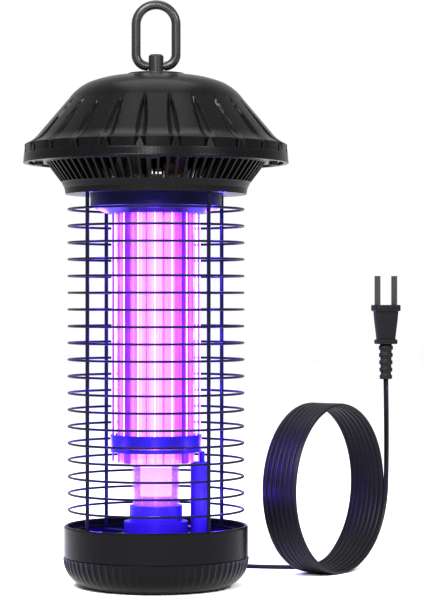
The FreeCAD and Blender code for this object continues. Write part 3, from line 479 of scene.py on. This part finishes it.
GROOVES = 24
GROOVE_PHASE = 9.6
GROOVE_HALF = 3.5
GROOVE_DEPTH = 2.9
GROOVE_COLUMNS = 22
POST_HOLE = 4.85
DOME_CAP = (17.9, 326.7)
DOME_BROW = (43.6, 321.7)
DOME_SHOULDER = (56.2, 311.0)
DOME_WAIST = (75.6, 288.1)
DOME_EDGE = (83.8, 282.4)
DOME_WALL = 2.2
TOOTH_FOOT = 276.0
TOOTH_HEIGHT = 6.2
TOOTH_HALF = 2.5
TOOTH_STEPS = 8
RIM_COLUMNS = 240


def arc(start, end, radius, steps):
    """Points of the arc from start to end, start left out; a negative radius bends the other way."""
    start, end = Vector(start), Vector(end)
    chord = end - start
    sag = math.sqrt(radius * radius - chord.length_squared / 4)
    side = Vector((chord.y, -chord.x)).normalized()
    centre = (start + end) / 2 + side * (math.copysign(sag, radius))
    first = math.atan2(start.y - centre.y, start.x - centre.x)
    sweep = math.atan2(end.y - centre.y, end.x - centre.x) - first
    sweep = (sweep + math.pi) % (2 * math.pi) - math.pi
    return [centre + abs(radius) * Vector((math.cos(first + sweep * step / steps),
                                           math.sin(first + sweep * step / steps)))
            for step in range(1, steps + 1)]


def dome_profile():
    """Outer line of the dome from the post hole to the edge."""
    line = [Vector((POST_HOLE, DOME_CAP[1])), Vector((12, DOME_CAP[1])), Vector(DOME_CAP)]
    line += arc(DOME_CAP, DOME_BROW, 67, 10)
    line += arc(DOME_BROW, DOME_SHOULDER, 32, 10)
    shoulder = len(line) - 1
    line += [Vector(DOME_SHOULDER).lerp(Vector(DOME_WAIST), step / 24) for step in range(1, 25)]
    line += arc(DOME_WAIST, DOME_EDGE, -24, 10)
    return line, shoulder


def groove_depth(share, across):
    """Depth in mm of a leaf-shaped groove, pointed at the shoulder and widest low down."""
    if share <= 0:
        return 0.0
    half = GROOVE_HALF * min(1.0, share / 0.6) ** 0.65
    inside = 1 - (across / half) ** 2
    return GROOVE_DEPTH * inside * min(1.0, share * 5) if inside > 0 else 0.0


def hood_shell():
    """Domed cover with leaf-shaped grooves, its inner face following the outer one."""
    line, shoulder = dome_profile()
    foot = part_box("hood_shell")[0][2] / MM
    inner = [Vector((max(p.x - DOME_WALL, POST_HOLE), p.y - DOME_WALL)) for p in reversed(line)]
    inner = [Vector((DOME_EDGE[0] - DOME_WALL, foot))] + inner[1:]
    profile = [(p, i) for i, p in enumerate(line)]
    profile += [(Vector((DOME_EDGE[0], foot)), len(line) - 1)]
    profile += [(p, len(line) - 1 - i) for i, p in enumerate(inner)]
    columns = GROOVES * GROOVE_COLUMNS
    pitch = 2 * math.pi / GROOVES
    points = []
    for spot, index in profile:
        share = (index - shoulder) / (len(line) - 1 - shoulder)
        for column in range(columns):
            angle = 2 * math.pi * column / columns
            offset = (angle - math.radians(GROOVE_PHASE) + pitch / 2) % pitch - pitch / 2
            radius = spot.x - groove_depth(share, offset * spot.x)
            points.append(ring_point(radius, angle, spot.y))
    mesh = mesh_from("hood_dome", points, grid_faces(len(profile), columns, True))
    dome = piece("hood_dome", mesh, hood_plastic(), "lantern", ["hood_shell"])
    soften(dome, 0.0002, 2, 40)


def tooth(points, faces, angle):
    """One pointed-arch tooth standing on the rim, added to the lists."""
    outward = Vector((math.cos(angle), math.sin(angle), 0))
    along = Vector((-math.sin(angle), math.cos(angle), 0))
    outline = [(TOOTH_HALF * (1 - (step / TOOTH_STEPS) ** 2),
                TOOTH_FOOT + TOOTH_HEIGHT * step / TOOTH_STEPS) for step in range(TOOTH_STEPS + 1)]
    outline += [(-x, z) for x, z in reversed(outline[:-1])]
    start = len(points)
    for reach, lean in ((81.0, 0.0), (84.3, 0.10)):
        points += [(outward * (reach - lean * (z - TOOTH_FOOT)) + along * x + Vector((0, 0, z))) * MM
                   for x, z in outline]
    count = len(outline)
    faces.append(tuple(range(start, start + count)))
    faces.append(tuple(range(start + count, start + 2 * count)))
    faces += [(start + i, start + (i + 1) % count, start + count + (i + 1) % count,
               start + count + i) for i in range(count)]


def hood_rim():
    """Rim band and underside plate as one turned ring, with a tooth below each groove."""
    profile = [(66.5, 273.5), (66.5, 275.5), (81.6, 275.5), (81.6, 276.8), (83.9, 276.8),
               (84.3, 276.2), (84.7, 271.6), (84.8, 271.4), (84.8, 270.5), (81.6, 270.5),
               (81.6, 273.5)]
    points = [ring_point(radius, 2 * math.pi * column / RIM_COLUMNS, height)
              for radius, height in profile for column in range(RIM_COLUMNS)]
    faces = grid_faces(len(profile), RIM_COLUMNS, True)
    for index in range(GROOVES):
        tooth(points, faces, math.radians(GROOVE_PHASE + 360 / GROOVES * index))
    mesh = mesh_from("rim_band", points, faces, smooth=False)
    rim = piece("rim_band", mesh, hood_plastic(), "lantern", ["hood_rim"])
    soften(rim, 0.0003, 3, 25)


# ---------------------------------------------------------------- base

FLUTES = 72
FLUTE_DEPTH = 0.70
FLUTE_TOP = 19.4
FLUTE_COLUMNS = 10
LUGS = 3
LUG_ANGLE = 14
LUG_STEPS = 8
LUG_SECTION = ((56.0, 22.6), (57.6, 22.6), (57.6, 24.4), (56.0, 24.4))


def flute_depth(height):
    """How deep the flutes are at a height: full below the band, none round the corner or above."""
    rise = max(0.0, min(1.0, (height - 4.0) / 9.0))
    return FLUTE_DEPTH * rise * max(0.0, min(1.0, (FLUTE_TOP - height) / 0.8))


def bayonet_lug(points, faces, start):
    """One lug of the twist lock, from a start angle, added to the lists."""
    first = len(points)
    for step in range(LUG_STEPS + 1):
        angle = math.radians(start + LUG_ANGLE * step / LUG_STEPS)
        points += [ring_point(radius, angle, height) for radius, height in LUG_SECTION]
    for step in range(LUG_STEPS):
        here = first + 4 * step
        faces += [(here + i, here + (i + 1) % 4, here + 4 + (i + 1) % 4, here + 4 + i)
                  for i in range(4)]
    faces.append((first, first + 1, first + 2, first + 3))
    faces.append(tuple(first + 4 * LUG_STEPS + i for i in range(4)))


def catch_tray():
    """Bowl with fine flutes that fade out round the corner, and the plain neck above."""
    corner = [(40.4 + 19 * math.sin(math.radians(a)), 19 - 19 * math.cos(math.radians(a)))
              for a in range(0, 91, 5)]
    outer = [(0.5, 0.0), (20, 0.0)] + corner + [(59.4, 19.3), (59.1, 19.5), (56.3, 19.5),
                                                (56.3, 24.7)]
    inner = [(54.9, 24.7), (54.9, 17.8), (57.8, 17.4), (56.5, 11.5), (52.0, 5.5), (40.4, 1.6),
             (20, 1.6), (0.5, 1.6)]
    columns = FLUTES * FLUTE_COLUMNS
    points = []
    for radius, height in outer + inner:
        depth = flute_depth(height) if radius > 45 and (radius, height) in outer else 0.0
        for column in range(columns):
            angle = 2 * math.pi * column / columns
            wave = abs(math.sin(angle * FLUTES / 2)) ** 0.7
            points.append(ring_point(radius - depth * wave, angle, height))
    faces = grid_faces(len(outer) + len(inner), columns, True)
    for index in range(LUGS):
        bayonet_lug(points, faces, 360 / LUGS * index)
    mesh = mesh_from("fluted_bowl", points, faces)
    bowl = piece("fluted_bowl", mesh, hood_plastic(), "tray", ["catch_tray"])
    soften(bowl, 0.0002, 2, 50)


# ---------------------------------------------------------------- finish of the frame's own nodes

def paint(material, *names):
    """Gives the named nodes of the frame this material alone."""
    for name in names:
        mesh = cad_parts[name].data
        mesh.materials.clear()
        mesh.materials.append(material)


def paint_nodes():
    """Finishes of the nodes that stay as the frame has them."""
    paint(hood_plastic(), "vent_neck", "base_ring")
    paint(collar_plastic_painted_blue(), "top_collar", "base_spider")
    paint(ring_plastic_painted_glow(), "lower_grid_ring", "lower_grid_band")
    paint(socket_plastic_painted_glow(), "lower_lamp_socket", "cable_pillar")
    paint(dark_metal(), "ring_post", "hanging_ring", "post_disc", "hood_screws")
    paint(plated_steel(), "post_washer", "post_nut", "top_rod_nuts",
          "bottom_rod_nuts", "collar_screws", "board_screws", "socket_screws", "terminal_screws",
          "lamp_pins")
    paint(coated_wire_painted_blue(), "cage_rings", "cage_rods")
    paint(live_steel_painted_violet(), "grid_wires_live")
    paint(return_steel_painted_glow(), "grid_wires_return")
    paint(strut_plastic_painted_glow(), "grid_struts")
    paint(lit_glass(), "lamp_tube")
    paint(sleeve_glass_painted_glow(), "lamp_sleeve")
    paint(skirt_glass_painted_glow(), "lamp_skirt")
    paint(painted("lamp_foot_plastic", (0.40, 0.18, 0.50), (0.52, 0.26, 0.62)), "lamp_base")
    paint(cord_rubber(), "cord_gland")
    paint(blade_brass(), "plug_blades")
    paint(painted("board_green", (0.02, 0.16, 0.05), (0.04, 0.24, 0.09)), "driver_board")
    paint(painted("ferrite_grey", (0.06, 0.06, 0.06), (0.11, 0.11, 0.11)), "driver_choke")
    paint(painted("film_red", (0.10, 0.02, 0.012), (0.16, 0.03, 0.02)), "film_capacitors")
    paint(painted("can_blue", (0.02, 0.04, 0.18), (0.04, 0.07, 0.28)), "smoothing_capacitor")
    paint(painted("resistor_tan", (0.55, 0.45, 0.28), (0.68, 0.57, 0.38)), "bleed_resistors")
    paint(painted("terminal_grey", (0.16, 0.16, 0.15), (0.24, 0.24, 0.23)), "output_terminal",
          "mains_terminal")
    paint(painted("lead_brown", (0.16, 0.06, 0.03), (0.26, 0.10, 0.06)), "mains_leads",
          "pillar_leads")


set_stage()
floor()
set_lights()
paint_nodes()
mains_lead()
hood_shell()
hood_rim()
catch_tray()
